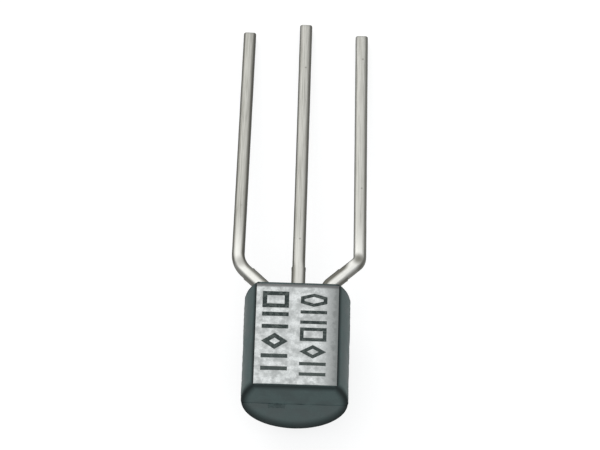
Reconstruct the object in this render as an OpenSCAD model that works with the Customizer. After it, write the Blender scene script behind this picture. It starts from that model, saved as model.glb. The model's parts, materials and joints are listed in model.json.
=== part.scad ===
// TO-92 transistor with its leads formed to a wider pitch, lying on its round back.
//
// The part is built in the body's own axes and then laid down as a whole. In the body's axes X runs
// across the row of leads, Y runs along the leads towards their tips and Z points out of the flat.
// The leads' middle plane, which is also the mould's parting plane, is Z = 0, and the face that the
// leads leave by is at Y = 0.

/* [Moulded body] */
// Length of the body along the leads, at the parting plane
body_length = 5.3; // [4.9:0.05:5.5]
// Diameter of the round back
body_diameter = 4.5; // [4.4:0.05:4.8]
// Height of the flat above the leads' middle plane
flat_height = 1.4; // [1.3:0.05:1.7]
// Draft of the end faces on either side of the parting plane, in degrees
end_draft = 2; // [1:0.5:5]
// Radius of the moulded edges
edge_radius = 0.12; // [0.1:0.01:0.2]

/* [Mould marks] */
// How far the flash stands out along the parting plane
flash_reach = 0.02; // [0.01:0.01:0.05]
// Thickness of the flash
flash_thickness = 0.05; // [0.03:0.01:0.08]
// Width of the broken gate on the end face
gate_width = 0.7; // [0.5:0.05:1]
// Height of the broken gate below the parting plane
gate_height = 0.35; // [0.25:0.05:0.5]
// How far the broken gate stands out of the end face
gate_reach = 0.05; // [0.03:0.01:0.08]
// Distance of the gate from the body's centre line
gate_offset = 0.75; // [0.5:0.05:1]
// Diameter of the ejector pin's mark on the round back
ejector_diameter = 1.2; // [0.8:0.1:1.5]
// Least depth of the ejector pin's mark
ejector_depth = 0.03; // [0.02:0.01:0.05]

/* [Leads] */
// Pitch of the leads where they leave the body
lead_pitch = 1.27; // [1.2:0.01:1.3]
// Pitch of the leads just past the bends of the outer ones
formed_pitch = 2.62; // [2.5:0.02:2.9]
// Pitch of the leads at their tips
tip_pitch = 2.5; // [2.4:0.02:2.7]
// Width of a lead
lead_width = 0.55; // [0.42:0.01:0.58]
// Width of a lead beside the body, up to where the dam bar was cut away
stub_width = 0.6; // [0.59:0.01:0.7]
// Thickness of the lead frame
lead_thickness = 0.42; // [0.36:0.01:0.46]
// Radius of the edges along a lead
lead_edge = 0.12; // [0.06:0.01:0.15]
// Length of the middle lead outside the body
lead_length = 14.3; // [12.7:0.1:16]
// Straight length of the emitter lead between the body and its first bend
emitter_bend_start = 0.05; // [0.05:0.05:0.6]
// Straight length of the collector lead between the body and its first bend
collector_bend_start = 0.35; // [0.05:0.05:0.6]
// Angle of each bend of an outer lead, in degrees
bend_angle = 45; // [35:1:55]
// Radius of each bend along the middle of the lead
bend_radius = 0.5; // [0.4:0.05:0.7]

/* [Lead frame inside the body] */
// Depth inside the body at which the leads' edges turn square
square_depth = 0.25; // [0.2:0.05:0.35]
// Depth inside the body of the notches that lock each lead in the moulding
notch_depth = 0.6; // [0.5:0.05:0.65]
// Radius of a locking notch
notch_radius = 0.12; // [0.08:0.01:0.14]
// Depth inside the body at which the base lead's bond pad starts
base_pad_depth = 1; // [0.85:0.05:1.1]
// Width of the base lead's bond pad
base_pad_width = 0.9; // [0.7:0.05:1]
// Length of the base lead's bond pad
base_pad_length = 0.5; // [0.4:0.05:0.6]
// Gap between the die paddle and the bond pads of the other two leads
paddle_gap = 0.32; // [0.25:0.01:0.4]
// Length of the die paddle along the leads
paddle_length = 2; // [1.6:0.1:2.3]
// Reach of the emitter lead's bond pad from its lead towards the centre
emitter_pad_reach = 0.65; // [0.5:0.05:0.75]
// Length of the emitter lead's bond pad
emitter_pad_length = 0.9; // [0.7:0.05:1.1]

/* [Die and wires] */
// Side of the square silicon die
die_side = 0.45; // [0.35:0.05:0.6]
// Thickness of the die
die_thickness = 0.2; // [0.15:0.01:0.25]
// Distance from the paddle's two inner edges to the die's nearest sides
die_inset = 0.3; // [0.2:0.05:0.4]
// Thickness of the layer that bonds the die to the paddle
attach_thickness = 0.03; // [0.025:0.005:0.04]
// Width of the bonding layer beyond the die on each side
attach_margin = 0.05; // [0.03:0.01:0.08]
// Diameter of a bond wire
wire_diameter = 0.03; // [0.025:0.005:0.04]
// Height of a wire's loop above the straight line between its ends
loop_height = 0.3; // [0.2:0.05:0.4]
// Diameter of the ball at the die's end of a wire
ball_diameter = 0.08; // [0.07:0.01:0.1]
// Height of the ball, after it has been pressed down
ball_height = 0.03; // [0.025:0.005:0.04]
// Diameter of the flattened end of a wire on its bond pad
stitch_diameter = 0.09; // [0.08:0.01:0.12]

/* [Hidden] */
$fn = 64;

body_radius = body_diameter / 2;

// The outer leads' forming: two opposite bends with a straight stretch between them.
bend_shift = formed_pitch - lead_pitch;
bend_arc = bend_radius * bend_angle * PI / 180;
slant_length = (bend_shift - 2 * bend_radius * (1 - cos(bend_angle))) / sin(bend_angle);
// The dam bar was cut away at one distance along all three leads, on the outer ones' slant.
stub_length = max(emitter_bend_start, collector_bend_start) + bend_arc + slant_length / 2;
// All three leads are cut to one length, so forming draws the outer tips back.
function past_bends(start) = lead_length - start - 2 * bend_arc - slant_length;

// Plan of the lead frame inside the body. The paddle starts beyond the base lead's bond pad.
paddle_depth = base_pad_depth + base_pad_length + paddle_gap;
paddle_edge = lead_pitch + stub_width / 2;
emitter_pad_edge = -lead_pitch + emitter_pad_reach;
paddle_inner_edge = emitter_pad_edge + paddle_gap;

// Heights and places of what sits on the flat-side face of the lead frame.
frame_top = lead_thickness / 2;
die_base = frame_top + attach_thickness;
die_top = die_base + die_thickness;
die_centre = [
    paddle_inner_edge + die_inset + die_side / 2,
    -(paddle_depth + die_inset + die_side / 2)
];
die_contact = die_side / 5;
base_contact = die_centre + [-die_contact, die_contact];
emitter_contact = die_centre - [die_contact, die_contact];
base_pad_centre = [0, -(base_pad_depth + base_pad_length / 2)];
emitter_pad_centre = [
    emitter_pad_edge - emitter_pad_reach / 2,
    -(paddle_depth + emitter_pad_length / 2)
];

// The rounded edge of an end face ends a few degrees early and flares, so that it crosses the
// round back at a clear angle.
flare = 10;
edge_steps = 4;
edge_angles = [for (i = [0:edge_steps]) 90 - i * (90 - flare) / edge_steps];
// Anything that is cut away or trimmed reaches this far beyond the body.
spare = body_radius / 2;

// How it lies: the floor touches the rounded edge below the leads and the middle lead's tip.
rest_edge_y = -(body_radius - edge_radius) * sin(end_draft) - edge_radius * cos(end_draft);
rest_edge_z = -(body_radius - edge_radius) * cos(end_draft) + edge_radius * sin(end_draft);
rest_run = lead_length - rest_edge_y;
rest_drop = -frame_top - rest_edge_z;
lie_angle = atan2(rest_drop, rest_run) + asin(edge_radius / norm([rest_run, rest_drop]));
lie_height = lead_length * sin(lie_angle) + frame_top * cos(lie_angle);
lie_front = (-body_length - rest_edge_y) * cos(lie_angle) + rest_edge_z * sin(lie_angle)
    - edge_radius;
lie_back = lead_length * cos(lie_angle) + frame_top * sin(lie_angle);

// Lays the part down with its lowest points on Z = 0 and the middle of its length at Y = 0.
module as_it_lies() {
    translate([0, -(lie_front + lie_back) / 2, lie_height])
        rotate([-lie_angle, 0, 0])
            children();
}

// A rectangle with round corners, centred.
module round_rectangle(size_x, size_y, radius) {
    square([size_x - 2 * radius, size_y], center = true);
    square([size_x, size_y - 2 * radius], center = true);
    for (x = [-1, 1], y = [-1, 1])
        translate([x * (size_x / 2 - radius), y * (size_y / 2 - radius)])
            circle(r = radius);
}

// ---- Moulded body ----

// The space inside an end face that faces +Z: a wide drum whose rim is rounded, then flares.
module end_drum() {
    rim = body_radius - edge_radius;
    depth = body_length + spare;
    last = edge_angles[edge_steps];
    rotate_extrude()
        polygon([
            [0, 0],
            for (a = edge_angles) [rim + edge_radius * cos(a), edge_radius * (sin(a) - 1)],
            [rim + edge_radius * cos(last) + depth * tan(flare), edge_radius * (sin(last) - 1) - depth],
            [0, -depth]
        ]);
}

// Side view of the flat's half, with Y as the sheet's X: drafted ends and a rounded edge at each
// end of the flat.
module flat_half_profile() {
    inset = flat_height * tan(end_draft);
    // From the flat's corner to where its rounding starts, along either side.
    setback = edge_radius * tan((90 - end_draft) / 2);
    middle_z = flat_height - edge_radius;
    front_y = -inset - setback;
    back_y = -body_length + inset + setback;
    polygon([
        [0, 0],
        for (i = [0:edge_steps])
            let (a = end_draft + i * (90 - end_draft) / edge_steps)
                [front_y + edge_radius * cos(a), middle_z + edge_radius * sin(a)],
        for (i = [0:edge_steps])
            let (a = 90 + i * (90 - end_draft) / edge_steps)
                [back_y + edge_radius * cos(a), middle_z + edge_radius * sin(a)],
        [-body_length, 0]
    ]);
}

// One half of the moulding, on the side of the parting plane that side gives: 1 is the flat's.
module body_half(side) {
    intersection() {
        translate([0, spare, 0])
            rotate([90, 0, 0])
                cylinder(r = body_radius, h = body_length + 2 * spare);
        if (side > 0)
            rotate([90, 0, 90])
                linear_extrude(height = body_diameter + spare, center = true)
                    flat_half_profile();
        else
            translate([-body_radius - spare, -body_length - spare, -body_radius - spare])
                cube([body_diameter + 2 * spare, body_length + 2 * spare, body_radius + spare]);
        rotate([side * end_draft - 90, 0, 0])
            end_drum();
        translate([0, -body_length, 0])
            rotate([90 - side * end_draft, 0, 0])
                end_drum();
    }
}

// Flash that the two halves of the mould left along the parting plane.
module flash() {
    translate([0, -body_length / 2, 0])
        linear_extrude(height = flash_thickness, center = true)
            round_rectangle(
                body_diameter + 2 * flash_reach,
                body_length + 2 * flash_reach,
                edge_radius + flash_reach
            );
}

// What is left of the gate that the moulding compound came in by.
module broken_gate() {
    translate([-gate_offset - gate_width / 2, -body_length - gate_reach, -gate_height])
        cube([gate_width, edge_radius + gate_reach, gate_height]);
}

// The round mark of the ejector pin, a little below the round back all the way round.
module ejector_mark() {
    floor_z = sqrt(pow(body_radius, 2) - pow(ejector_diameter / 2, 2)) - ejector_depth;
    translate([0, -body_length / 2, -floor_z])
        mirror([0, 0, 1])
            cylinder(d = ejector_diameter, h = spare);
}

module moulded_body() {
    color("#4d5657")
        as_it_lies()
            difference() {
                union() {
                    body_half(1);
                    body_half(-1);
                    flash();
                    broken_gate();
                }
                ejector_mark();
                collector_form();
                base_form();
                emitter_form();
                die_form();
                attach_form();
                base_wire_form();
                emitter_wire_form();
            }
}

// ---- Leads ----

// A straight stretch of lead that starts at the origin and runs along +Y.
module straight(length, width) {
    rotate([-90, 0, 0])
        linear_extrude(height = length)
            round_rectangle(width, lead_thickness, lead_edge);
}

// Turns its children about the centre of a bend that starts at the origin: towards +X where turn
// is 1, and towards -X where turn is -1.
module turned(turn, angle) {
    translate([turn * bend_radius, 0, 0])
        rotate([0, 0, -turn * angle])
            translate([-turn * bend_radius, 0, 0])
                children();
}

// The space ahead of the origin along +Y, as far as a bend reaches.
module ahead() {
    reach = 2 * bend_radius + stub_width;
    translate([-reach, 0, -lead_thickness])
        cube([2 * reach, reach, 2 * lead_thickness]);
}

// A bend that starts at the origin: a ring, cut at the planes where the straight stretches meet it.
module bend(turn, angle, width) {
    intersection() {
        translate([turn * bend_radius, 0, 0])
            rotate_extrude()
                translate([bend_radius, 0])
                    round_rectangle(width, lead_thickness, lead_edge);
        ahead();
        turned(turn, angle)
            mirror([0, 1, 0])
                ahead();
    }
}

// The formed part of an outer lead, outside the body, on the +X side. Its second bend turns a
// little further, so that the lead closes in towards its tip.
module formed_lead(start) {
    closing = asin((formed_pitch - tip_pitch) / past_bends(start));
    outer_run = past_bends(start) - bend_radius * closing * PI / 180;
    slant_stub = stub_length - start - bend_arc;
    translate([lead_pitch, -square_depth, 0])
        straight(square_depth + start, stub_width);
    translate([lead_pitch, start, 0]) {
        bend(1, bend_angle, stub_width);
        turned(1, bend_angle) {
            straight(slant_stub, stub_width);
            translate([0, slant_stub, 0])
                straight(slant_length - slant_stub, lead_width);
            translate([0, slant_length, 0]) {
                bend(-1, bend_angle + closing, lead_width);
                turned(-1, bend_angle + closing)
                    straight(outer_run, lead_width);
            }
        }
    }
}

// A piece of the stamped lead frame, from its plan.
module frame_plate() {
    linear_extrude(height = lead_thickness, center = true)
        children();
}

// Plan of a rectangle between two depths inside the body and two places across it.
module plan(left, right, top_depth, bottom_depth) {
    translate([left, -bottom_depth])
        square([right - left, bottom_depth - top_depth]);
}

// Plan of the neck that carries a lead inwards at the place x, with its two locking notches.
module neck(x, end_depth) {
    difference() {
        plan(x - stub_width / 2, x + stub_width / 2, square_depth, end_depth);
        for (side = [-1, 1])
            translate([x + side * stub_width / 2, -notch_depth])
                circle(r = notch_radius);
    }
}

module collector_form() {
    formed_lead(collector_bend_start);
    frame_plate() {
        neck(lead_pitch, paddle_depth);
        plan(paddle_inner_edge, paddle_edge, paddle_depth, paddle_depth + paddle_length);
    }
}

module base_form() {
    translate([0, -square_depth, 0])
        straight(square_depth + stub_length, stub_width);
    translate([0, stub_length, 0])
        straight(lead_length - stub_length, lead_width);
    frame_plate() {
        neck(0, base_pad_depth);
        plan(
            -base_pad_width / 2, base_pad_width / 2,
            base_pad_depth, base_pad_depth + base_pad_length
        );
    }
}

module emitter_form() {
    mirror([1, 0, 0])
        formed_lead(emitter_bend_start);
    frame_plate() {
        neck(-lead_pitch, paddle_depth);
        plan(-paddle_edge, emitter_pad_edge, paddle_depth, paddle_depth + emitter_pad_length);
    }
}

module collector_lead() {
    color("#c8c4ba")
        as_it_lies()
            collector_form();
}

module base_lead() {
    color("#c8c4ba")
        as_it_lies()
            base_form();
}

module emitter_lead() {
    color("#c8c4ba")
        as_it_lies()
            emitter_form();
}

// ---- Die ----

// A square block on the die's centre.
module die_block(side, base_z, thickness) {
    translate([die_centre.x - side / 2, die_centre.y - side / 2, base_z])
        cube([side, side, thickness]);
}

module die_form() {
    die_block(die_side, die_base, die_thickness);
}

module attach_form() {
    die_block(die_side + 2 * attach_margin, frame_top, attach_thickness);
}

module silicon_die() {
    color("#5b6270")
        as_it_lies()
            die_form();
}

module die_attach() {
    color("#b9b4a6")
        as_it_lies()
            attach_form();
}

// ---- Bond wires ----

// A wire from its ball on the die to its flattened end on a bond pad, in one plain arc.
module bond_wire(contact, pad) {
    span = norm(pad - contact);
    heading = atan2(pad.y - contact.y, pad.x - contact.x);
    start_z = die_top + ball_height / 2;
    drop = start_z - frame_top - wire_diameter / 2;
    chord = norm([span, drop]);
    radius = (pow(chord / 2, 2) + pow(loop_height, 2)) / (2 * loop_height);
    half_sweep = 2 * atan2(2 * loop_height, chord);
    translate([contact.x, contact.y, start_z])
        rotate([90, 0, heading])
            rotate([0, 0, -atan2(drop, span)])
                translate([chord / 2, loop_height - radius, 0])
                    rotate([0, 0, 90 - half_sweep])
                        rotate_extrude(angle = 2 * half_sweep)
                            translate([radius, 0])
                                circle(d = wire_diameter);
    translate([contact.x, contact.y, die_top])
        cylinder(d = ball_diameter, h = ball_height);
    translate([pad.x, pad.y, frame_top])
        cylinder(d = stitch_diameter, h = wire_diameter);
}

module base_wire_form() {
    bond_wire(base_contact, base_pad_centre);
}

module emitter_wire_form() {
    bond_wire(emitter_contact, emitter_pad_centre);
}

module base_bond_wire() {
    color("#d9ae4b")
        as_it_lies()
            base_wire_form();
}

module emitter_bond_wire() {
    color("#d9ae4b")
        as_it_lies()
            emitter_wire_form();
}

moulded_body();
collector_lead();
base_lead();
emitter_lead();
silicon_die();
die_attach();
base_bond_wire();
emitter_bond_wire();
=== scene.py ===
import json
import math
import bpy
import bmesh
from mathutils import Matrix, Vector, noise


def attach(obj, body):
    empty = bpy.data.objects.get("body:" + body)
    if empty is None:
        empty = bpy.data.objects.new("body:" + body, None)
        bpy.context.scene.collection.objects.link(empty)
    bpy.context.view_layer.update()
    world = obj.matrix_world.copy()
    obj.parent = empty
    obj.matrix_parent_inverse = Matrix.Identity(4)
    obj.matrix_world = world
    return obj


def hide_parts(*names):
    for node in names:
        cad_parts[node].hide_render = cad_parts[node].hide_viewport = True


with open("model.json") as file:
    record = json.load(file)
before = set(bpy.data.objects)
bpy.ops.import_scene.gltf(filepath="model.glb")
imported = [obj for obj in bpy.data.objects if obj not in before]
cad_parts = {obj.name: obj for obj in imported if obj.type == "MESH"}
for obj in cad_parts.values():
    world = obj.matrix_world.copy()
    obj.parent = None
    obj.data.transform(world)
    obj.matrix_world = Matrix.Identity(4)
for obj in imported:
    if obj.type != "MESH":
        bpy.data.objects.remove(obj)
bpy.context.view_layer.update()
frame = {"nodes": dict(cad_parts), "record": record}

# The transistor is modelled in its own axes, in millimetres: X across the row of leads, Y along
# the leads towards their tips and Z out of the flat. The leads' middle plane is Z = 0 and they
# leave the case at Y = 0. Each finished piece is then laid down by the place of the flat's mount.
mm = 0.001
# how near to a place, in mm, a part of a mesh counts as being at it, and how much of a face's
# normal has to be along a way for it to count as facing that way
closeBy, facing = 1e-4, 0.9
caseForm = {
    "length": 5.3, "radius": 2.25, "flatHeight": 1.4,
    # the ends' draft and the arc's first and last step in degrees
    "draft": 2.0, "cornerStep": 5.0, "arcSteps": 104, "spareEnd": 0.4,
    "rim": 0.12, "baseRim": 0.24, "rimSteps": 6, "longEdge": 0.04, "longSteps": 3,
    # the lines across and along, and how upright a face has to be to belong to the smooth flat
    "slices": 30, "flatLines": 27, "plainEnd": 0.4, "flatNormal": 0.96,
    "crown": 0.022, "crownPower": 5, "pinMark": 0.6, "pinDepth": 0.03, "pinSteps": 72,
    "unevenness": 0.0035, "wavesPerMm": 1.1,
}
flatMount = next(m for m in frame["record"]["mounts"] if m["name"] == "flat")
lieAngle = math.atan2(flatMount["axis"][1], flatMount["axis"][2])
tipOver = Matrix.Rotation(-lieAngle, 4, "X")
flatMiddle = Vector((0, -caseForm["length"] / 2, caseForm["flatHeight"]))
lieAt = Vector(flatMount["pos_m"]) - tipOver @ flatMiddle * mm
layDown = Matrix.Translation(lieAt) @ tipOver @ Matrix.Scale(mm, 4)


def halfFlat(form):
    # half the width of the flat
    return math.sqrt(form["radius"] ** 2 - form["flatHeight"] ** 2)


def onlyVerts(geom):
    return [g for g in geom if isinstance(g, bmesh.types.BMVert)]


def onlyEdges(geom):
    return [g for g in geom if isinstance(g, bmesh.types.BMEdge)]


def inOrder(parts):
    # each part once, in the order given, so that every run makes the same mesh
    return list(dict.fromkeys(parts))


def rimOf(faces):
    # the edges where a patch of faces ends
    patch = set(faces)
    edges = inOrder(e for f in faces for e in f.edges)
    return [e for e in edges if sum(f in patch for f in e.link_faces) == 1]


def cutOff(bm, point, normal):
    # takes off what is beyond a plane and closes the cut
    made = bmesh.ops.bisect_plane(
        bm, geom=bm.verts[:] + bm.edges[:] + bm.faces[:], dist=closeBy / 10,
        plane_co=point, plane_no=normal, clear_outer=True,
    )
    bmesh.ops.contextual_create(bm, geom=onlyEdges(made["geom_cut"]))


def scoreAcross(bm, faces, point, normal):
    # adds an edge line where a plane crosses these faces
    verts = inOrder(v for f in faces for v in f.verts)
    edges = inOrder(e for f in faces for e in f.edges)
    bmesh.ops.bisect_plane(
        bm, geom=[*verts, *edges, *faces], dist=closeBy / 10, plane_co=point, plane_no=normal
    )


def roundOver(bm, edges, radius, segments):
    bmesh.ops.bevel(
        bm, geom=edges, offset=radius, offset_type="OFFSET", affect="EDGES",
        segments=segments, profile=0.5, material=-1, clamp_overlap=False,
    )


def thicken(bm, height):
    # pulls a flat sheet up into a closed slab
    made = bmesh.ops.extrude_face_region(bm, geom=bm.faces[:])["geom"]
    bmesh.ops.translate(bm, verts=onlyVerts(made), vec=(0, 0, height))
    bmesh.ops.recalc_face_normals(bm, faces=bm.faces)


def ripple(bm, verts, amount, perMm, seed):
    # a slight unevenness along each vertex normal
    bm.normal_update()
    for v in verts:
        v.co += v.normal * amount * noise.noise(v.co * perMm + Vector((seed, seed, 0)))


def finishPiece(bm, name, materials, sharpAngle=32):
    # lays the mesh down as a piece of its own; edges over sharpAngle degrees stay sharp
    bmesh.ops.recalc_face_normals(bm, faces=bm.faces)
    for face in bm.faces:
        face.smooth = True
    for edge in bm.edges:
        edge.smooth = edge.calc_face_angle(0) < math.radians(sharpAngle)
    bmesh.ops.transform(bm, matrix=layDown, verts=bm.verts)
    mesh = bpy.data.meshes.new(name)
    bm.to_mesh(mesh)
    bm.free()
    for material in materials:
        mesh.materials.append(material)
    piece = bpy.data.objects.new(name, mesh)
    bpy.context.scene.collection.objects.link(piece)
    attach(piece, "root")
    print(f"{name}: {len(mesh.polygons)} faces")
    return piece


def feed(tree, node, inputs):
    # links other nodes' outputs to the node's inputs, or sets the inputs' own values
    for key, value in inputs.items():
        socket = node.inputs[key]
        if isinstance(value, bpy.types.NodeSocket):
            tree.links.new(value, socket)
        elif isinstance(value, tuple) and len(value) == 3 and socket.type == "RGBA":
            socket.default_value = (*value, 1)
        else:
            socket.default_value = value


def addNode(tree, kind, inputs=None, **settings):
    node = tree.nodes.new(kind)
    for key, value in settings.items():
        setattr(node, key, value)
    feed(tree, node, inputs or {})
    return node


def calc(tree, operation, first, *others):
    # brings the further values in one by one, with a Math node for each
    for other in others or (0.0,):
        inputs = {0: first, 1: other}
        first = addNode(tree, "ShaderNodeMath", inputs, operation=operation).outputs[0]
    return first


def remap(tree, value, low, high, toLow, toHigh, **settings):
    return addNode(
        tree, "ShaderNodeMapRange",
        {"Value": value, "From Min": low, "From Max": high, "To Min": toLow, "To Max": toHigh},
        **settings,
    ).outputs[0]


def fade(tree, value, low, high, toLow=0.0, toHigh=1.0):
    # a remap with soft ends
    return remap(tree, value, low, high, toLow, toHigh, interpolation_type="SMOOTHSTEP")


def spread(tree, field, toLow, toHigh, usual=(0.3, 0.7)):
    # a remap from the values that a noise mostly has
    return remap(tree, field, *usual, toLow, toHigh)


def axesOf(tree, place):
    return addNode(tree, "ShaderNodeSeparateXYZ", {0: place}).outputs


def blend(tree, share, first, second):
    return addNode(tree, "ShaderNodeMix", {0: share, 2: first, 3: second}).outputs[0]


def layTones(tree, colour, *layers):
    # lays tones over a colour in turn, each by its share
    for share, tone in layers:
        inputs = {0: share, 6: colour, 7: tone}
        colour = addNode(tree, "ShaderNodeMix", inputs, data_type="RGBA").outputs[2]
    return colour


def placeGroup(tree, group, place, inputs):
    inputs = {"Place": place, **inputs}
    return addNode(tree, "ShaderNodeGroup", inputs, node_tree=group).outputs[0]


def raiseBumps(tree, shader, *layers):
    # stacks bumps, each a height from 0 to 1 and its depth in mm
    normal = None
    for height, depth in layers:
        inputs = {"Height": height, "Distance": depth * mm}
        if normal:
            inputs["Normal"] = normal
        normal = addNode(tree, "ShaderNodeBump", inputs).outputs[0]
    feed(tree, shader, {"Normal": normal})


def newGroup(name, inputs, output):
    # an effect that takes a place and the named inputs, and gives one output
    tree = bpy.data.node_groups.new(name, "ShaderNodeTree")
    tree.interface.new_socket("Place", in_out="INPUT", socket_type="NodeSocketVector")
    for label, value in inputs.items():
        socket = tree.interface.new_socket(label, in_out="INPUT", socket_type="NodeSocketFloat")
        socket.default_value = value
    tree.interface.new_socket(output, in_out="OUTPUT", socket_type="NodeSocketFloat")
    entry, end = tree.nodes.new("NodeGroupInput"), tree.nodes.new("NodeGroupOutput")
    return tree, entry.outputs, end


def newMaterial(name):
    material = bpy.data.materials.new(name)
    material.use_nodes = True
    return material, material.node_tree, material.node_tree.nodes["Principled BSDF"]


def bodyPlace(tree):
    # object coordinates turned back into the transistor's own axes, in millimetres
    inputs = {
        "Vector": addNode(tree, "ShaderNodeTexCoord").outputs["Object"],
        "Location": lieAt, "Rotation": (-lieAngle, 0, 0), "Scale": (mm,) * 3,
    }
    return addNode(tree, "ShaderNodeMapping", inputs, vector_type="TEXTURE").outputs[0]


def makeGrain():
    # an even grain: Size is its spacing in mm
    tree, given, out = newGroup("fine grain", {"Size": 0.05}, "Grain")
    field = addNode(tree, "ShaderNodeTexNoise", {
        "Vector": given["Place"], "Scale": calc(tree, "DIVIDE", 1.0, given["Size"]),
        "Detail": 3.0, "Roughness": 0.6,
    })
    feed(tree, out, {"Grain": field.outputs["Fac"]})
    return tree


def makeBlotches():
    # soft blotches from 0 to 1: Size in mm, and Hardness sharpens their edges
    tree, given, out = newGroup("blotches", {"Size": 1.0, "Hardness": 0.3}, "Blotch")
    cloud = addNode(tree, "ShaderNodeTexNoise", {
        "Vector": given["Place"], "Scale": calc(tree, "DIVIDE", 1.0, given["Size"]),
        "Detail": 4.0, "Roughness": 0.55,
    })
    low = calc(tree, "MULTIPLY", calc(tree, "SUBTRACT", 1.0, given["Hardness"]), 0.5)
    high = calc(tree, "SUBTRACT", 1.0, low)
    feed(tree, out, {"Blotch": fade(tree, cloud.outputs["Fac"], low, high)})
    return tree


def makeSpecks():
    # scattered specks: Size is their spacing in mm, Share is how many of the places have one,
    # and Reach is a speck's radius in spacings
    inputs = {"Size": 0.2, "Share": 0.2, "Reach": 0.25}
    tree, given, out = newGroup("specks", inputs, "Speck")
    cells = addNode(tree, "ShaderNodeTexVoronoi", {
        "Vector": given["Place"], "Scale": calc(tree, "DIVIDE", 1.0, given["Size"]),
    })
    draw = addNode(tree, "ShaderNodeSeparateColor", {"Color": cells.outputs["Color"]}).outputs[0]
    chosen = calc(tree, "LESS_THAN", draw, given["Share"])
    inside = fade(tree, cells.outputs["Distance"], given["Reach"], 0.0)
    feed(tree, out, {"Speck": calc(tree, "MULTIPLY", chosen, inside)})
    return tree


def makeDrawnMarks():
    # marks drawn out along Y of the place they are given: Across and Along are their sizes in mm
    tree, given, out = newGroup("drawn marks", {"Across": 0.02, "Along": 1.5}, "Mark")
    across, along = (calc(tree, "DIVIDE", 1.0, given[way]) for way in ("Across", "Along"))
    stretch = addNode(tree, "ShaderNodeCombineXYZ", {0: across, 1: along, 2: across}).outputs[0]
    inputs = {0: given["Place"], 1: stretch}
    place = addNode(tree, "ShaderNodeVectorMath", inputs, operation="MULTIPLY")
    field = addNode(tree, "ShaderNodeTexNoise", {
        "Vector": place.outputs[0], "Scale": 1.0, "Detail": 3.0, "Roughness": 0.65,
    })
    feed(tree, out, {"Mark": field.outputs["Fac"]})
    return tree


grain, blotches, specks, drawnMarks = makeGrain(), makeBlotches(), makeSpecks(), makeDrawnMarks()
print("shared effects made")

# dark and light are the blotches' tones, edge is the painted shade's tone at the case's edges (on
# the flat, where its painted sheen falls away), and edgeMatt is how much rougher those are; sizes
# and depths in mm
sparkFinish = {
    "dark": (0.043, 0.070, 0.069), "light": (0.067, 0.105, 0.102), "edge": (0.008, 0.013, 0.013),
    "speck": (0.12, 0.14, 0.135), "roughness": (0.38, 0.50), "specular": 0.35, "coat": 0.0,
    "grainSize": 0.05, "grainDepth": 0.0030, "blotches": {"Size": 0.9, "Hardness": 0.2},
    "edgeMatt": 0.5,
}
# the flat's pale tones are a painted sheen over the dark epoxy
flatFinishAndPaintedSheen = {
    "dark": (0.31, 0.33, 0.325), "light": (0.86, 0.885, 0.875), "edge": (0.14, 0.155, 0.15),
    "speck": (0.82, 0.84, 0.83), "roughness": (0.30, 0.44), "specular": 1.0, "coat": 0.8,
    "grainSize": 0.06, "grainDepth": 0.0018, "blotches": {"Size": 0.34, "Hardness": 0.38},
    "edgeMatt": 0.1,
}
brokenFinish = {
    "dark": (0.036, 0.058, 0.057), "light": (0.080, 0.112, 0.109), "edge": (0.03, 0.045, 0.044),
    "speck": (0.15, 0.17, 0.165), "roughness": (0.6, 0.8), "specular": 0.35, "coat": 0.0,
    "grainSize": 0.035, "grainDepth": 0.004, "blotches": {"Size": 0.2, "Hardness": 0.2},
    "edgeMatt": 0.1,
}
epoxyShared = {
    # the specks, and how much specks and grain show in the colour and grain in the gloss
    "specks": {"Size": 0.11, "Share": 0.12, "Reach": 0.22}, "speckTint": 0.5,
    "grainTint": 0.5, "grainGloss": 0.04,
    # how far the painted dark shade reaches from the rims and from the flat's edges, in mm, how
    # much wider the first is at the round back, and how many times deeper the second is on the
    # ends
    "rim": 0.38, "flatEdge": 0.24, "backWider": 2.3, "endSpread": 1.8,
    # where across the flat its painted sheen falls away into painted shade, how ragged that is,
    # and where the painted shade on the lip over the leads is
    "dull": (0.85, 1.65), "sheenFadeRagged": 0.12, "sheenFadePower": 1.5,
    "lip": (-0.44, -0.30), "lipPaintedShade": (0.012, 0.016, 0.016),
}


def makeEdgeShade(form, look):
    # painted shade, 1 at the case's edges and falling away from them: Rim and Edge are how far
    # it reaches in mm
    tree, given, out = newGroup("edge shade", {"Rim": 0.26, "Edge": 0.2}, "Shade")
    x, y, z = axesOf(tree, given["Place"])

    def away(a, b):
        squares = (calc(tree, "MULTIPLY", gap, gap) for gap in (a, b))
        return calc(tree, "SQRT", calc(tree, "ADD", *squares))

    # from the nearer end, from the round back, from the flat and from the flat's long edges
    halfLength = form["length"] / 2
    fromMiddle = calc(tree, "ABSOLUTE", calc(tree, "ADD", y, halfLength))
    fromEnd = calc(tree, "SUBTRACT", halfLength, fromMiddle)
    fromBack = calc(tree, "SUBTRACT", form["radius"], away(x, z))
    fromFlat = calc(tree, "SUBTRACT", form["flatHeight"], z)
    fromSide = calc(tree, "SUBTRACT", halfFlat(form), calc(tree, "ABSOLUTE", x))
    widening = remap(tree, z, 0.0, -form["radius"], 1.0, 1.0 + look["backWider"])
    fromRim = away(fromEnd, calc(tree, "DIVIDE", fromBack, widening))
    shade = fade(tree, fromRim, given["Rim"], 0.0)
    for other, deeper in ((fromEnd, look["endSpread"]), (fromSide, 1.0)):
        fromEdge = away(other, calc(tree, "DIVIDE", fromFlat, deeper))
        shade = calc(tree, "MAXIMUM", shade, fade(tree, fromEdge, given["Edge"], 0.0))
    feed(tree, out, {"Shade": shade})
    return tree


edgeShade = makeEdgeShade(caseForm, epoxyShared)


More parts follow.
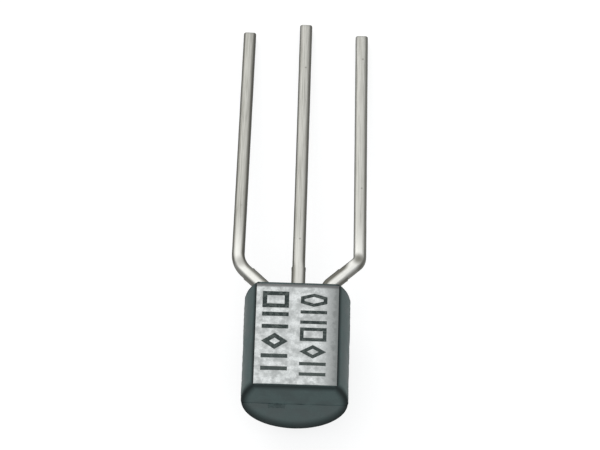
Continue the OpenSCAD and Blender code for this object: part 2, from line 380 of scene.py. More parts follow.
def makeEpoxy(name, look, shared, isFlat=False):
    material, tree, shader = newMaterial(name)
    place = bodyPlace(tree)
    cloudy = placeGroup(tree, blotches, place, look["blotches"])
    fine = placeGroup(tree, grain, place, {"Size": look["grainSize"]})
    dots = placeGroup(tree, specks, place, shared["specks"])
    if isFlat:
        # the painted sheen on the moulded face falls away into painted shade towards one long edge
        x, y = axesOf(tree, place)[:2]
        ragged = remap(tree, cloudy, 0, 1, -shared["sheenFadeRagged"], shared["sheenFadeRagged"])
        crossed = remap(tree, calc(tree, "ADD", x, ragged), *shared["dull"], 0, 1)
        shade = calc(tree, "POWER", crossed, shared["sheenFadePower"])
    else:
        reaches = {"Rim": shared["rim"], "Edge": shared["flatEdge"]}
        shade = placeGroup(tree, edgeShade, place, reaches)
    colour = layTones(
        tree, look["dark"], (cloudy, look["light"]),
        (spread(tree, fine, 0, shared["grainTint"]), look["dark"]),
        (calc(tree, "MULTIPLY", dots, shared["speckTint"]), look["speck"]), (shade, look["edge"]),
    )
    if isFlat:
        # and painted shade darkens the lip over the leads
        colour = layTones(tree, colour, (fade(tree, y, *shared["lip"]), shared["lipPaintedShade"]))
    gloss = calc(
        tree, "ADD", remap(tree, cloudy, 0, 1, *look["roughness"]),
        spread(tree, fine, -shared["grainGloss"], shared["grainGloss"]),
        calc(tree, "MULTIPLY", shade, look["edgeMatt"]),
    )
    feed(tree, shader, {
        "Base Color": colour, "Roughness": gloss, "Specular IOR Level": look["specular"],
        "Coat Weight": look["coat"], "Coat Roughness": look["roughness"][0],
    })
    raiseBumps(tree, shader, (fine, look["grainDepth"]))
    return material


mattEpoxy = makeEpoxy("spark eroded epoxy", sparkFinish, epoxyShared)
flatEpoxyWithPaintedSheen = makeEpoxy("smooth flat epoxy with painted sheen", flatFinishAndPaintedSheen, epoxyShared, isFlat=True)
brokenEpoxy = makeEpoxy("broken epoxy", brokenFinish, epoxyShared)

inkFinish = {
    "ink": (0.022, 0.034, 0.032), "thin": (0.10, 0.118, 0.11), "roughness": (0.56, 0.70),
    "specular": 0.3, "grainSize": 0.05, "grainDepth": 0.002,
    # the spots where little ink took, broken up by the grain
    "missed": {"Size": 0.16, "Hardness": 0.1}, "missedFrom": (0.45, 1.0), "missedShare": 0.8,
    "brokenFrom": (0.4, 0.6), "brokenShare": (0.4, 1.0),
    # the print thins out from the first of these places along the case to the second
    "fade": (-2.2, -5.0), "faded": 0.5,
}


def makeInk(look):
    material, tree, shader = newMaterial("dark marking")
    place = bodyPlace(tree)
    fine = placeGroup(tree, grain, place, {"Size": look["grainSize"]})
    spots = placeGroup(tree, blotches, place, look["missed"])
    missed = remap(tree, spots, *look["missedFrom"], 0, look["missedShare"])
    broken = remap(tree, fine, *look["brokenFrom"], *look["brokenShare"])
    faded = remap(tree, axesOf(tree, place)[1], *look["fade"], 0, look["faded"])
    thinHere = calc(tree, "MAXIMUM", calc(tree, "MULTIPLY", missed, broken), faded)
    feed(tree, shader, {
        "Base Color": layTones(tree, look["ink"], (thinHere, look["thin"])),
        "Roughness": spread(tree, fine, *look["roughness"]),
        "Specular IOR Level": look["specular"],
    })
    raiseBumps(tree, shader, (fine, look["grainDepth"]))
    return material


darkMarking = makeInk(inkFinish)

# bright, dull and stain are the plating's own tones; edge is the tone of the darker sides, partly
# the sheared sides' duller plating and partly painted shade, and of the dark spots at the bends;
# the last tone is a painted highlight
tinFinish = {
    "bright": (0.44, 0.435, 0.405), "dull": (0.22, 0.215, 0.19), "edge": (0.13, 0.126, 0.108),
    "stain": (0.16, 0.15, 0.125), "pressed": (0.68, 0.675, 0.645), "roughness": (0.42, 0.50),
    # sizes in mm of the drawn lines, grain, blotches and stains, and how much of each shows
    "lines": {"Across": 0.035, "Along": 2.2}, "linesFrom": (0.46, 0.66), "lineTint": 0.85,
    "lineDepth": 0.0026, "grainSize": 0.03, "grainDepth": 0.0012, "grainGloss": 0.05,
    "blotches": {"Size": 0.55, "Hardness": 0.0},
    "stains": {"Size": 0.4, "Share": 0.16, "Reach": 0.17}, "stainTint": 0.6, "stainGloss": 0.2,
    # how far from a lead's middle its darker sides begin and are darkest: partly the sheared
    # sides' duller plating, partly painted shade of the rounded edges
    "sheared": (0.09, 0.26),
    # how the painted highlight and shade change across the row from the emitter's side to the
    # collector's, on the straight stretches and then on the slants: where the painted light middle
    # is, how wide, and how much paler each lead is painted
    "straightRow": (-1.5, 2.0), "slantRow": (-1.2, 1.2), "slantTo": (1.35, 1.85),
    "lean": ((0.025, 0.045), (0.07, -0.09)),
    "wider": ((0.0, 0.03), (0.0, 0.0)),
    "paintedPaler": ((0.0, 0.17), (0.2, -0.05)),
    # the stretch beyond the case where a painted highlight runs down a lead's middle between
    # painted darker sides; the painted highlight is weaker under the blotches and on the middle
    # lead
    "pressedTo": (2.0, 4.2), "pressedCore": (0.06, 0.20), "pressedRim": (0.13, 0.22),
    "cloudedFrom": (0.3, 0.9), "clouded": 0.45, "midTo": (0.3, 1.2), "midCore": 0.4,
    # dark spots at the outer bends, and how strong each is
    "darkBendSpots": (((2.56, 1.93, 0.0), 0.95), ((-2.50, 1.62, 0.0), 0.5)),
    "darkSpotReach": (0.18, 0.44),
}


def leadTones(tree, look, way, cloudy):
    # where painted shade darkens a lead, where it is painted paler and where a painted highlight
    # brightens it
    place = bodyPlace(tree)
    sideways, outward = axesOf(tree, place)[:2]
    onSlant = fade(tree, outward, *look["slantTo"], 1, 0)

    def byPlace(straight, slanted):
        onStraight = remap(tree, sideways, *look["straightRow"], *straight)
        return blend(tree, onSlant, onStraight, remap(tree, sideways, *look["slantRow"], *slanted))

    lean, wider, paintedPaler = (byPlace(*look[key]) for key in ("lean", "wider", "paintedPaler"))
    across = calc(tree, "ABSOLUTE", calc(tree, "ADD", axesOf(tree, way)[0], lean))
    aside = calc(tree, "SUBTRACT", across, wider)
    nearCase = fade(tree, outward, *look["pressedTo"], 1, 0)
    rimmed = calc(tree, "MULTIPLY", nearCase, fade(tree, aside, *look["pressedRim"]))
    dark = calc(tree, "MAXIMUM", fade(tree, aside, *look["sheared"]), rimmed)
    dark = calc(tree, "MULTIPLY", dark, calc(tree, "SUBTRACT", 1, paintedPaler))
    for spot, strength in look["darkBendSpots"]:
        inputs = {0: place, 1: spot}
        gap = addNode(tree, "ShaderNodeVectorMath", inputs, operation="DISTANCE").outputs[1]
        spotDarkness = fade(tree, gap, *look["darkSpotReach"], strength, 0)
        dark = calc(tree, "MAXIMUM", dark, spotDarkness)
    pressed = calc(
        tree, "MULTIPLY", nearCase, fade(tree, aside, *look["pressedCore"], 1, 0),
        remap(tree, cloudy, *look["cloudedFrom"], 1, look["clouded"]),
        remap(tree, calc(tree, "ABSOLUTE", sideways), *look["midTo"], look["midCore"], 1),
    )
    return dark, paintedPaler, pressed


def makeTin(look):
    material, tree, shader = newMaterial("tin plating")
    # across, along and through the lead, so that the marks follow its bends
    way = addNode(tree, "ShaderNodeAttribute", attribute_name="leadWay").outputs["Vector"]
    lines = placeGroup(tree, drawnMarks, way, look["lines"])
    fine = placeGroup(tree, grain, way, {"Size": look["grainSize"]})
    cloudy = placeGroup(tree, blotches, way, look["blotches"])
    stains = placeGroup(tree, specks, way, look["stains"])
    dark, paintedPaler, pressed = leadTones(tree, look, way, cloudy)
    # the paler and bright-core layers are painted light, and the dark layer is partly painted
    # shade
    colour = layTones(
        tree, look["bright"], (cloudy, look["dull"]),
        (remap(tree, lines, *look["linesFrom"], 0, look["lineTint"]), look["dull"]),
        (paintedPaler, look["pressed"]), (pressed, look["pressed"]), (dark, look["edge"]),
        (calc(tree, "MULTIPLY", stains, look["stainTint"]), look["stain"]),
    )
    gloss = calc(
        tree, "ADD", remap(tree, cloudy, 0, 1, *look["roughness"]),
        spread(tree, fine, -look["grainGloss"], look["grainGloss"]),
        calc(tree, "MULTIPLY", stains, look["stainGloss"]),
    )
    feed(tree, shader, {"Base Color": colour, "Roughness": gloss, "Metallic": 1.0})
    raiseBumps(tree, shader, (lines, look["lineDepth"]), (fine, look["grainDepth"]))
    return material


tinPlating = makeTin(tinFinish)

cutFinish = {
    "metal": (0.62, 0.43, 0.31), "smear": (0.66, 0.62, 0.56), "roughness": (0.34, 0.54),
    "lines": {"Across": 0.03, "Along": 0.5}, "smearFrom": (0.45, 0.6), "lineDepth": 0.005,
}


def makeCutMetal(look):
    material, tree, shader = newMaterial("sheared copper")
    # the blade went through from the flat's side, so its marks run along Z
    inputs = {"Vector": bodyPlace(tree), "Rotation": (math.pi / 2, 0, 0)}
    turned = addNode(tree, "ShaderNodeMapping", inputs).outputs[0]
    lines = placeGroup(tree, drawnMarks, turned, look["lines"])
    smeared = remap(tree, lines, *look["smearFrom"], 0, 1)
    feed(tree, shader, {
        "Base Color": layTones(tree, look["metal"], (smeared, look["smear"])),
        "Roughness": spread(tree, lines, *look["roughness"]), "Metallic": 1.0,
    })
    raiseBumps(tree, shader, (lines, look["lineDepth"]))
    return material


shearedCopper = makeCutMetal(cutFinish)

innerFinishes = {
    "silicon": {
        "first": (0.17, 0.19, 0.24), "second": (0.22, 0.24, 0.29), "speck": (0.45, 0.46, 0.48),
        "marks": {"Across": 0.03, "Along": 0.03},
        "specks": {"Size": 0.08, "Share": 0.06, "Reach": 0.3},
        "roughness": (0.10, 0.18), "depth": 0.0004, "metallic": 0.2,
    },
    "die_bond": {
        "first": (0.56, 0.54, 0.48), "second": (0.64, 0.62, 0.56), "speck": (0.8, 0.79, 0.75),
        "marks": {"Across": 0.02, "Along": 0.02},
        "specks": {"Size": 0.03, "Share": 0.5, "Reach": 0.3},
        "roughness": (0.35, 0.6), "depth": 0.002, "metallic": 0.5,
    },
    "gold_wire": {
        "first": (0.83, 0.62, 0.22), "second": (0.90, 0.70, 0.32), "speck": (0.70, 0.50, 0.18),
        "marks": {"Across": 0.008, "Along": 0.4},
        "specks": {"Size": 0.1, "Share": 0.1, "Reach": 0.3},
        "roughness": (0.16, 0.28), "depth": 0.0005, "metallic": 1.0,
    },
}


def makeInner(name, look, toneChange=(0.35, 0.65)):
    # a plain finish for what the moulding hides: two tones, fine marks and a little bump
    material, tree, shader = newMaterial(name)
    place = bodyPlace(tree)
    marks = placeGroup(tree, drawnMarks, place, look["marks"])
    dots = placeGroup(tree, specks, place, look["specks"])
    changed = remap(tree, marks, *toneChange, 0, 1)
    feed(tree, shader, {
        "Base Color": layTones(
            tree, look["first"], (changed, look["second"]), (dots, look["speck"])
        ),
        "Roughness": spread(tree, marks, *look["roughness"]), "Metallic": look["metallic"],
    })
    raiseBumps(tree, shader, (marks, look["depth"]))
    return material


innerNodes = {
    "silicon": ["silicon_die"], "die_bond": ["die_attach"],
    "gold_wire": ["base_bond_wire", "emitter_bond_wire"],
}
for slotName, nodeNames in innerNodes.items():
    innerMaterial = makeInner(slotName.replace("_", " "), innerFinishes[slotName])
    for nodeName in nodeNames:
        cadPart = frame["nodes"][nodeName]
        cadPart.data.materials.clear()
        cadPart.data.materials.append(innerMaterial)
print("materials made")


def spinOutline(bm, form):
    # the end outline: an arc that starts and ends at the flat, with a short first and last step
    corner = math.acos(form["flatHeight"] / form["radius"])
    endStep = math.radians(form["cornerStep"])
    backAngle = 2 * (math.pi - corner - endStep)
    across, start = form["radius"] * math.sin(corner), form["spareEnd"]
    last = bm.verts.new((across, start, form["flatHeight"]))
    for angle, steps in ((endStep, 1), (backAngle, form["arcSteps"]), (endStep, 1)):
        made = bmesh.ops.spin(
            bm, geom=[last], cent=(0, start, 0), axis=(0, 1, 0), angle=angle, steps=steps
        )
        last = onlyVerts(made["geom_last"])[0]
    bmesh.ops.contextual_create(bm, geom=bm.verts[:])


def draftEnds(bm, form):
    # one slope on each side of the parting line, at each end
    lean = math.radians(form["draft"])
    for side in (1, -1):
        cutOff(bm, (0, 0, 0), (0, math.cos(lean), side * math.sin(lean)))
        cutOff(bm, (0, -form["length"], 0), (0, -math.cos(lean), side * math.sin(lean)))


def aboveRim(face, form):
    return face.calc_center_median().z > form["flatHeight"] - form["rim"]


def roundCase(bm, form):
    # the mould's rounded rims, then the crisper long edges of the flat
    for side, radius in ((1, form["baseRim"]), (-1, form["rim"])):
        ends = [f for f in bm.faces if side * f.normal.y > facing]
        roundOver(bm, rimOf(ends), radius, form["rimSteps"])
    longEdges = [
        e for e in bm.edges
        if all(abs(v.co.z - form["flatHeight"]) < closeBy for v in e.verts)
        and abs(e.verts[0].co.x - e.verts[1].co.x) < closeBy
    ]
    roundOver(bm, longEdges, form["longEdge"], form["longSteps"])


def scoreCase(bm, form, sideways=0.01):
    # lines across and along, so that the surface can be slightly uneven
    for k in range(form["slices"]):
        share = k / (form["slices"] - 1)
        at = -form["plainEnd"] - (form["length"] - 2 * form["plainEnd"]) * share
        scoreAcross(bm, bm.faces[:], (0, at, 0), (0, 1, 0))
    half = halfFlat(form) - form["longEdge"]
    for k in range(form["flatLines"]):
        share = (k + 1) / (form["flatLines"] + 1)
        flat = [f for f in bm.faces if abs(f.normal.x) < sideways and aboveRim(f, form)]
        scoreAcross(bm, flat, ((2 * share - 1) * half, 0, 0), (1, 0, 0))


def crownFlat(bm, form):
    # lets the flat fall away a little towards its long edges
    for v in bm.verts:
        nearFlat = (v.co.z - form["flatHeight"] + form["rim"]) / form["rim"]
        outward = min(1.0, abs(v.co.x) / halfFlat(form)) ** form["crownPower"]
        v.co.z -= form["crown"] * max(0.0, min(1.0, nearFlat)) * outward


def carve(bm, cutter):
    # takes the cutter's shape out of the mesh
    made = []
    for source in (bm, cutter):
        mesh = bpy.data.meshes.new("carving")
        source.to_mesh(mesh)
        source.free()
        made.append(bpy.data.objects.new("carving", mesh))
        bpy.context.scene.collection.objects.link(made[-1])
    block, tool = made
    removal = block.modifiers.new("removal", "BOOLEAN")
    removal.operation, removal.solver, removal.object = "DIFFERENCE", "EXACT", tool
    shaped = block.evaluated_get(bpy.context.evaluated_depsgraph_get())
    result = bmesh.new()
    result.from_mesh(shaped.to_mesh())
    shaped.to_mesh_clear()
    for thing in made:
        mesh = thing.data
        bpy.data.objects.remove(thing)
        bpy.data.meshes.remove(mesh)
    return result


def ejectorPin(form):
    # a drum whose top only just reaches into the round back
    pin, radius = bmesh.new(), form["pinMark"]
    bmesh.ops.create_cone(
        pin, cap_ends=True, segments=form["pinSteps"], radius1=radius, radius2=radius, depth=1
    )
    top = form["pinDepth"] - math.sqrt(form["radius"] ** 2 - radius ** 2)
    bmesh.ops.translate(pin, verts=pin.verts, vec=(0, -form["length"] / 2, top - 0.5))
    return pin


def makeCase(form):
    bm = bmesh.new()
    spinOutline(bm, form)
    made = bmesh.ops.extrude_face_region(bm, geom=bm.faces[:])["geom"]
    span = form["length"] + 2 * form["spareEnd"]
    bmesh.ops.translate(bm, verts=onlyVerts(made), vec=(0, -span, 0))
    bmesh.ops.recalc_face_normals(bm, faces=bm.faces)
    draftEnds(bm, form)
    roundCase(bm, form)
    scoreCase(bm, form)
    crownFlat(bm, form)
    bm = carve(bm, ejectorPin(form))
    ripple(bm, bm.verts, form["unevenness"], form["wavesPerMm"], seed=3)
    for face in bm.faces:
        onFlat = face.normal.z > form["flatNormal"] and aboveRim(face, form)
        face.material_index = 1 if onFlat else 0
    case = finishPiece(bm, "epoxy_case", [mattEpoxy, flatEpoxyWithPaintedSheen])
    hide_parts("moulded_body")


makeCase(caseForm)

flashForm = {
    "reach": 0.02, "thickness": 0.02, "width": 0.3, "spacing": 0.06, "cornerSteps": 5,
    # how deep its edge is broken away, around a level and by waves: how many to a mm, their shift
    # and their share; and how thin the broken edge is left
    "ragged": 0.018, "level": 0.5, "waves": ((2.1, 7, 1.0), (7, 0, 0.6)), "thinned": 0.6,
}


def makeFlash(flash, case):
    # the thin ragged line that the two halves of the mould left
    bm = bmesh.new()
    bmesh.ops.create_grid(bm, x_segments=1, y_segments=1, size=0.5)
    across, along = 2 * (case["radius"] + flash["reach"]), case["length"] + 2 * flash["reach"]
    bmesh.ops.scale(bm, vec=(across, along, 1), verts=bm.verts)
    middle = (0, -case["length"] / 2, -flash["thickness"] / 2)
    bmesh.ops.translate(bm, vec=middle, verts=bm.verts)
    bmesh.ops.bevel(
        bm, geom=bm.verts[:], offset=case["rim"] + flash["reach"], affect="VERTICES",
        segments=flash["cornerSteps"], profile=0.5, material=-1,
    )
    straight = [edge for edge in bm.edges if edge.calc_length() > case["radius"]]
    for edge in straight:
        cuts = round(edge.calc_length() / flash["spacing"])
        bmesh.ops.subdivide_edges(bm, edges=[edge], cuts=cuts)
    bmesh.ops.inset_region(
        bm, faces=bm.faces[:], thickness=flash["width"], use_boundary=True, use_even_offset=True
    )
    inner = [face for face in bm.faces if len(face.verts) > 4]
    bmesh.ops.delete(bm, geom=inner, context="FACES")
    thicken(bm, flash["thickness"])
    for v in bm.verts:
        out = Vector((v.co.x / case["radius"], 2 * v.co.y / case["length"] + 1, 0))
        if max(abs(out.x), abs(out.y)) < 1:
            continue
        wave = flash["level"] + sum(
            share * noise.noise(v.co * perMm + Vector((0, 0, shift)))
            for perMm, shift, share in flash["waves"]
        )
        v.co -= out.normalized() * (flash["ragged"] * max(0, wave))
        v.co.z *= flash["thinned"]
    finishPiece(bm, "parting_flash", [mattEpoxy])


makeFlash(flashForm, caseForm)

gateForm = {
    "width": 0.7, "height": 0.35, "reach": 0.05, "offset": 0.75, "root": 0.12, "spacing": 0.05,
    # how deep the chips in its front are and how many to a mm, and how far its edges fall back
    "chips": 0.035, "chipsPerMm": 9, "fallBack": 0.02, "fallPower": 4,
}


def makeGateScar(gate, case):
    # the broken stub where the moulding compound came in
    bm = bmesh.new()
    across, up = (round(gate[side] / gate["spacing"]) for side in ("width", "height"))
    bmesh.ops.create_grid(bm, x_segments=across, y_segments=up, size=0.5)
    bmesh.ops.scale(bm, vec=(gate["width"], gate["height"], 1), verts=bm.verts)
    thicken(bm, gate["root"])
    turned = Matrix.Rotation(math.pi / 2, 3, "X")
    bmesh.ops.rotate(bm, verts=bm.verts, cent=(0, 0, 0), matrix=turned)
    middle = Vector((-gate["offset"], -case["length"] + gate["root"], -gate["height"] / 2))
    bmesh.ops.translate(bm, vec=middle, verts=bm.verts)
    front = min(v.co.y for v in bm.verts) + closeBy
    for v in [v for v in bm.verts if v.co.y < front]:
        away = v.co - middle
        towardsEdge = max(abs(away.x) / gate["width"], abs(away.z) / gate["height"])
        perMm = gate["chipsPerMm"]
        chip = 0.5 + noise.noise(Vector((v.co.x * perMm, v.co.z * perMm, 5)))
        fallen = gate["fallBack"] * (2 * towardsEdge) ** gate["fallPower"]
        v.co.y = -case["length"] - gate["reach"] + gate["chips"] * chip + fallen
    finishPiece(bm, "gate_scar", [brokenEpoxy])


makeGateScar(gateForm, caseForm)

markForm = {
    "rise": 0.006, "sink": 0.03,
    # the framed shapes' sides, and their turn in degrees
    "frames": {"square": (4, 45), "diamond": (4, 0), "hexagon": (6, 0)},
    # each column's place across, its first mark's place along and the spacing of its marks, and
    # the marks' width, length and stroke
    "columns": [
        {"across": -0.92, "first": -1.01, "spacing": -1.03, "spans": (1.12, 0.80, 0.19),
         "marks": ["square", "bars", "diamond", "bars"]},
        {"across": 0.70, "first": -1.00, "spacing": -0.85, "spans": (1.12, 0.66, 0.155),
         "marks": ["hexagon", "bars", "square", "diamond", "bars"]},
    ],
}


def layBars(bm, width, length, stroke):
    made = []
    for side in (-1, 1):
        bar = bmesh.ops.create_grid(bm, x_segments=1, y_segments=1, size=0.5)["verts"]
        bmesh.ops.scale(bm, vec=(width, stroke, 1), verts=bar)
        bmesh.ops.translate(bm, vec=(0, side * (length - stroke) / 2, 0), verts=bar)
        made += bar
    return made


def layFrame(bm, sides, turn, width, length, stroke):
    # a frame with straight sides, scaled to its place before its stroke is inset
    made = bmesh.ops.create_circle(bm, cap_ends=True, radius=0.5, segments=sides)["verts"]
    turned = Matrix.Rotation(math.radians(turn), 3, "Z")
    bmesh.ops.rotate(bm, verts=made, cent=(0, 0, 0), matrix=turned)
    spanX, spanY = (2 * max(v.co[axis] for v in made) for axis in (0, 1))
    bmesh.ops.scale(bm, vec=(width / spanX, length / spanY, 1), verts=made)
    face = made[0].link_faces[0]
    ring = bmesh.ops.inset_region(
        bm, faces=[face], thickness=stroke, use_boundary=True, use_even_offset=True
    )["faces"]
    bmesh.ops.delete(bm, geom=[face], context="FACES")
    return inOrder(v for f in ring for v in f.verts)


def makeMarks(marks, case):
    # plain printed shapes in two columns
    bm = bmesh.new()
    for column in marks["columns"]:
        for k, mark in enumerate(column["marks"]):
            if mark == "bars":
                made = layBars(bm, *column["spans"])
            else:
                made = layFrame(bm, *marks["frames"][mark], *column["spans"])
            along = column["first"] + column["spacing"] * k
            place = (column["across"], along, case["flatHeight"] - marks["sink"])
            bmesh.ops.translate(bm, vec=place, verts=made)
    thicken(bm, marks["sink"] + marks["rise"])
    finishPiece(bm, "flat_marks", [darkMarking])


makeMarks(markForm, caseForm)

leadForm = {
    "pitch": 1.27, "formedPitch": 2.62, "tipPitch": 2.5, "stub": 0.60, "width": 0.55,
    "thickness": 0.42, "edge": 0.13, "edgeSteps": 5, "length": 14.3,
    # for the emitter and then the collector: the straight length before the first bend, and the
    # outer bend's radius
    "bendStarts": (0.05, 0.35), "bendRadius": 0.5, "bendAngle": 45, "outerRadii": (1.2, 0.5),
    "shoulder": 0.05, "burr": 0.01, "burrLength": 0.12, "tipEdge": 0.03, "tipSteps": 2,
    # a straight run's usual step, and the unevenness: waves per mm and their share of it
    "step": 0.16, "unevenness": 0.0035, "waves": ((1.3, 1.0), (4.5, 0.5)),
    # how far the plating's marks are shifted for each letter of a lead's name
    "markShift": 20,
    # inside the moulding: depths below the face that the leads leave by, and the pads
    "square": 0.25, "notchDepth": 0.6, "notch": 0.12, "basePadDepth": 1.0,
    "basePadLength": 0.5, "basePadWidth": 0.9, "basePadCorner": 0.02, "padGap": 0.32,
    "paddleLength": 2.0, "emitterPadLength": 0.9, "emitterPadReach": 0.65,
}


def aheadOf(heading):
    return Vector((math.sin(heading), math.cos(heading), 0))


def rightOf(heading):
    return Vector((math.cos(heading), -math.sin(heading), 0))


def startStrip(x, y, width):
    # a flat strip that grows at its edge; its stations say where it has been, for its marks
    bm = bmesh.new()
    ends = [bm.verts.new((x + side * width / 2, y, 0)) for side in (-1, 1)]
    return {
        "bm": bm, "edge": bm.edges.new(ends), "at": Vector((x, y, 0)), "heading": 0.0,
        "width": width, "gone": y, "stations": [(Vector((x, y, 0)), 0.0, y)],
    }


def setWidth(strip, width):
    bmesh.ops.scale(
        strip["bm"], vec=(width / strip["width"],) * 2 + (1,), verts=strip["edge"].verts,
        space=Matrix.Translation(-strip["at"]),
    )
    strip["width"] = width


def noteStation(strip, length):
    strip["gone"] += length
    strip["stations"].append((strip["at"].copy(), strip["heading"], strip["gone"]))


def runOn(strip, length, width=None, pieces=None):
    # carries the strip straight on, and brings it to a new width on the way
    pieces = pieces or max(1, round(length / leadForm["step"]))
    first, width = strip["width"], width or strip["width"]
    step = aheadOf(strip["heading"]) * (length / pieces)
    for k in range(pieces):
        made = bmesh.ops.extrude_edge_only(strip["bm"], edges=[strip["edge"]])["geom"]
        strip["edge"] = strip["bm"].edges.get(onlyVerts(made))
        bmesh.ops.translate(strip["bm"], vec=step, verts=strip["edge"].verts)
        strip["at"] += step
        setWidth(strip, first + (width - first) * (k + 1) / pieces)
        noteStation(strip, length / pieces)


def bendTo(strip, side, angle, radius, pieces=16):
    # spins the strip's end about the bend's centre; side is 1 to the right and -1 to the left
    centre = strip["at"] + rightOf(strip["heading"]) * side * radius
    part = math.radians(angle) / pieces
    for k in range(pieces):
        made = bmesh.ops.spin(
            strip["bm"], geom=[strip["edge"], *strip["edge"].verts], cent=centre, axis=(0, 0, 1),
            angle=-side * part, steps=1,
        )
        strip["edge"] = onlyEdges(made["geom_last"])[0]
        strip["at"] = sum((v.co for v in strip["edge"].verts), Vector()) / 2
        strip["heading"] += side * part
        noteStation(strip, radius * part)


def notchRun(strip, radius, pieces=8):
    # a round bite out of each side, which locks the lead in the moulding
    full = strip["width"]
    for k in range(pieces):
        before, after = (-radius * math.cos(math.pi * n / pieces) for n in (k, k + 1))
        bite = math.sqrt(max(0, radius ** 2 - after ** 2))
        runOn(strip, after - before, full - 2 * bite, pieces=1)


def widenSide(strip, x, low, high, reach):
    # pulls one side of the strip out into a pad
    bm = strip["bm"]
    side = [
        e for e in bm.edges
        if all(abs(v.co.x - x) < closeBy and low - closeBy < v.co.y < high + closeBy
               for v in e.verts)
    ]
    made = bmesh.ops.extrude_edge_only(bm, edges=side)["geom"]
    bmesh.ops.translate(bm, vec=(reach, 0, 0), verts=onlyVerts(made))


def neckOut(strip, form):
    # from a pad to just under the face that the lead leaves by
    runOn(strip, -form["notchDepth"] - form["notch"] - strip["at"].y)
    notchRun(strip, form["notch"])
    runOn(strip, -form["square"] - strip["at"].y, form["stub"])


def narrowDown(strip, length, form):
    # a stub's last stretch, with the burr that cutting the dam bar raised, and its shoulder
    runOn(strip, length - form["burrLength"] - form["shoulder"])
    runOn(strip, form["burrLength"], form["stub"] + 2 * form["burr"], pieces=3)
    runOn(strip, form["shoulder"], form["width"], pieces=1)


def bendRuns(form):
    # how long a bend is, and the slant between the two bends
    angle = math.radians(form["bendAngle"])
    shift = form["formedPitch"] - form["pitch"]
    slant = (shift - 2 * form["bendRadius"] * (1 - math.cos(angle))) / math.sin(angle)
    return form["bendRadius"] * angle, slant


def stubLength(form):
    arc, slant = bendRuns(form)
    return max(form["bendStarts"]) + arc + slant / 2


def formOuter(strip, side, form):
    # from inside the moulding through both bends to the tip, closing in a little on the way
    start = form["bendStarts"][side > 0]
    arc, slant = bendRuns(form)
    stubOnSlant = stubLength(form) - start - arc
    pastBends = form["length"] - start - 2 * arc - slant
    closing = math.asin((form["formedPitch"] - form["tipPitch"]) / pastBends)
    backAngle = form["bendAngle"] + math.degrees(closing)
    outerRadius = form["outerRadii"][side > 0]
    # what a rounder bend takes from the straight stretches on both sides of it
    taken = (outerRadius - form["bendRadius"]) * math.tan(math.radians(backAngle / 2))
    runOn(strip, form["square"] + start)
    bendTo(strip, side, form["bendAngle"], form["bendRadius"])
    narrowDown(strip, stubOnSlant, form)
    runOn(strip, slant - stubOnSlant - taken)
    bendTo(strip, -side, backAngle, outerRadius)
    runOn(strip, pastBends - form["bendRadius"] * closing - taken)


def wayAlong(bm, stations, shift):
    # where each vertex is across, along and through the lead
    ways = []
    for v in bm.verts:
        point, heading, gone = min(
            stations, key=lambda s: (s[0].x - v.co.x) ** 2 + (s[0].y - v.co.y) ** 2
        )
        offset = v.co - point
        along = gone + offset.dot(aheadOf(heading)) + shift
        ways += [offset.dot(rightOf(heading)), along, v.co.z]
    return ways


def makeLead(name, nodeName, strip, form):
    bm, seed, sharp = strip["bm"], len(name), math.radians(60)
    onward = aheadOf(strip["heading"])

    def atTip(part, depth=closeBy):
        return all((v.co - strip["at"]).dot(onward) > -depth for v in part.verts)

    bmesh.ops.translate(bm, vec=(0, 0, -form["thickness"] / 2), verts=bm.verts)
    thicken(bm, form["thickness"])
    along = [
        e for e in bm.edges
        if e.calc_face_angle(0) > sharp and abs(e.verts[0].co.z - e.verts[1].co.z) < closeBy
        and all(v.co.y > -form["square"] - closeBy for v in e.verts) and not atTip(e)
    ]
    roundOver(bm, along, form["edge"], form["edgeSteps"])
    roundOver(bm, rimOf([f for f in bm.faces if atTip(f)]), form["tipEdge"], form["tipSteps"])
    outside = [v for v in bm.verts if v.co.y > 0]
    for perMm, share in form["waves"]:
        ripple(bm, outside, form["unevenness"] * share, perMm, seed)
    for face in bm.faces:
        sheared = atTip(face, form["tipEdge"] / 2) and face.normal.dot(onward) > facing
        face.material_index = 1 if sheared else 0
    ways = wayAlong(bm, strip["stations"], form["markShift"] * seed)
    lead = finishPiece(bm, name, [tinPlating, shearedCopper])
    attribute = lead.data.attributes.new("leadWay", "FLOAT_VECTOR", "POINT")
    attribute.data.foreach_set("vector", ways)
    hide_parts(nodeName)


def makeLeads(form):
    padTop = -form["basePadDepth"] - form["basePadLength"] - form["padGap"]
    inner = form["pitch"] - form["stub"] / 2
    # collector: the paddle that carries the die, its neck and the lead
    foot = padTop - form["paddleLength"]
    strip = startStrip(form["pitch"], foot, form["stub"])
    runOn(strip, form["paddleLength"], pieces=6)
    paddleInner = -form["pitch"] + form["emitterPadReach"] + form["padGap"]
    widenSide(strip, inner, foot, padTop, paddleInner - inner)
    neckOut(strip, form)
    formOuter(strip, 1, form)
    makeLead("collector_pin", "collector_lead", strip, form)
    # emitter: a small pad, its neck and the lead
    foot = padTop - form["emitterPadLength"]
    strip = startStrip(-form["pitch"], foot, form["stub"])
    runOn(strip, form["emitterPadLength"], pieces=3)
    widenSide(strip, -inner, foot, padTop, form["emitterPadReach"] - form["stub"] / 2)
    neckOut(strip, form)
    formOuter(strip, -1, form)
    makeLead("emitter_pin", "emitter_lead", strip, form)
    # base: a bond pad and a straight lead
    foot = -form["basePadDepth"] - form["basePadLength"]
    strip = startStrip(0, foot, form["basePadWidth"])
    runOn(strip, form["basePadLength"] - form["basePadCorner"], pieces=2)
    runOn(strip, form["basePadCorner"], form["stub"], pieces=1)
    neckOut(strip, form)
    narrowDown(strip, form["square"] + stubLength(form), form)
    runOn(strip, form["length"] - stubLength(form))
    makeLead("base_pin", "base_lead", strip, form)


makeLeads(leadForm)

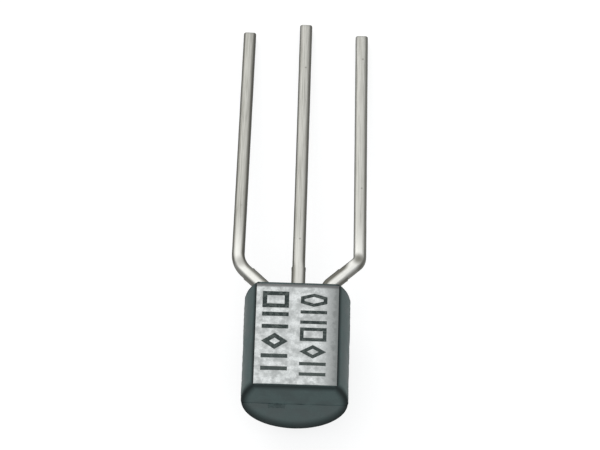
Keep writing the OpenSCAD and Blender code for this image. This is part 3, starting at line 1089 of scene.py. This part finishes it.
studio = {
    "floorRadius": 4.0, "floorSides": 96, "floorTone": (0.36, 0.36, 0.36), "floorRoughness": 0.9,
    # how brightly the floor is seen, and its share of that in reflections
    "floorLift": 0.75, "mirroredShare": 0.55,
    "worldTone": (0.96, 0.98, 1.0), "worldLevel": 0.74,
    # distances and sizes in metres
    "lamps": {
        "window": {"towards": (-0.32, 0.62, 0.72), "distance": 0.9, "size": (0.86, 0.80),
                   "level": 1.1, "colour": (1.0, 0.99, 0.96)},
        "front fill": {"towards": (0.35, -0.80, 0.45), "distance": 1.2, "size": (0.9, 0.9),
                       "level": 0.5, "colour": (0.92, 0.98, 1.0)},
    },
}


def makeFloor(room):
    bm = bmesh.new()
    bmesh.ops.create_circle(
        bm, cap_ends=True, radius=room["floorRadius"], segments=room["floorSides"]
    )
    mesh = bpy.data.meshes.new("floor")
    bm.to_mesh(mesh)
    bm.free()
    floor = bpy.data.objects.new("floor", mesh)
    bpy.context.scene.collection.objects.link(floor)
    material, tree, shader = newMaterial("pale floor")
    rays = addNode(tree, "ShaderNodeLightPath").outputs
    mirrored = calc(tree, "MAXIMUM", rays["Is Glossy Ray"], rays["Is Transmission Ray"])
    mirrored = calc(tree, "MULTIPLY", mirrored, room["mirroredShare"])
    seen = calc(tree, "MAXIMUM", rays["Is Camera Ray"], mirrored)
    feed(tree, shader, {
        "Base Color": room["floorTone"], "Roughness": room["floorRoughness"],
        "Specular IOR Level": 0.0, "Emission Color": (1.0, 1.0, 1.0),
        "Emission Strength": calc(tree, "MULTIPLY", seen, room["floorLift"]),
    })
    mesh.materials.append(material)


def hangLamp(name, towards, distance, size, level, colour):
    # an area lamp that shines at the object with the given level on its whole face
    lamp = bpy.data.lights.new(name, "AREA")
    lamp.shape, lamp.size, lamp.size_y = "RECTANGLE", *size
    lamp.energy, lamp.color = level * math.pi * size[0] * size[1], colour
    holder = bpy.data.objects.new(name, lamp)
    holder.location = Vector(towards).normalized() * distance
    holder.rotation_mode = "QUATERNION"
    holder.rotation_quaternion = Vector(towards).to_track_quat("Z", "Y")
    holder.visible_camera = False
    bpy.context.scene.collection.objects.link(holder)


def lightRoom(room):
    for lampName, facts in room["lamps"].items():
        hangLamp(lampName, **facts)
    world = bpy.data.worlds.new("soft room")
    world.use_nodes = True
    background = world.node_tree.nodes["Background"]
    inputs = {"Color": room["worldTone"], "Strength": room["worldLevel"]}
    feed(world.node_tree, background, inputs)
    bpy.context.scene.world = world
    bpy.context.scene.view_settings.view_transform = "Standard"


makeFloor(studio)
lightRoom(studio)
print("floor and light made")

cameraPlan = {
    # elevation and bearing in degrees, and distance in mm from the flat's middle
    "elevation": 66.4, "bearing": 0.0, "distance": 160.0,
    # what it looks at, in mm, and how far the leads lean to the right, in degrees
    "aim": (0.0, -0.37, 1.0), "lean": 1.8,
    "lens": 228.0, "sensor": 36.0, "clip": (0.01, 20),
}


def makeCamera(plan):
    rise, bearing = math.radians(plan["elevation"]), math.radians(plan["bearing"])
    level = Vector((math.sin(bearing), -math.cos(bearing), 0)) * math.cos(rise)
    away = level + Vector((0, 0, math.sin(rise)))
    place = Vector(flatMount["pos_m"]) + away * plan["distance"] * mm
    towards = (place - Vector(plan["aim"]) * mm).normalized()
    leadsWay = tipOver.to_3x3() @ Vector((0, 1, 0))
    upright = (leadsWay - towards * leadsWay.dot(towards)).normalized()
    up = Matrix.Rotation(math.radians(plan["lean"]), 3, towards) @ upright
    turn = Matrix((up.cross(towards), up, towards)).transposed()
    camera = bpy.data.objects.new("camera", bpy.data.cameras.new("camera"))
    camera.data.lens, camera.data.sensor_width = plan["lens"], plan["sensor"]
    camera.data.clip_start, camera.data.clip_end = plan["clip"]
    camera.location, camera.rotation_euler = place, turn.to_euler()
    bpy.context.scene.collection.objects.link(camera)
    bpy.context.scene.camera = camera


makeCamera(cameraPlan)
print("camera set")
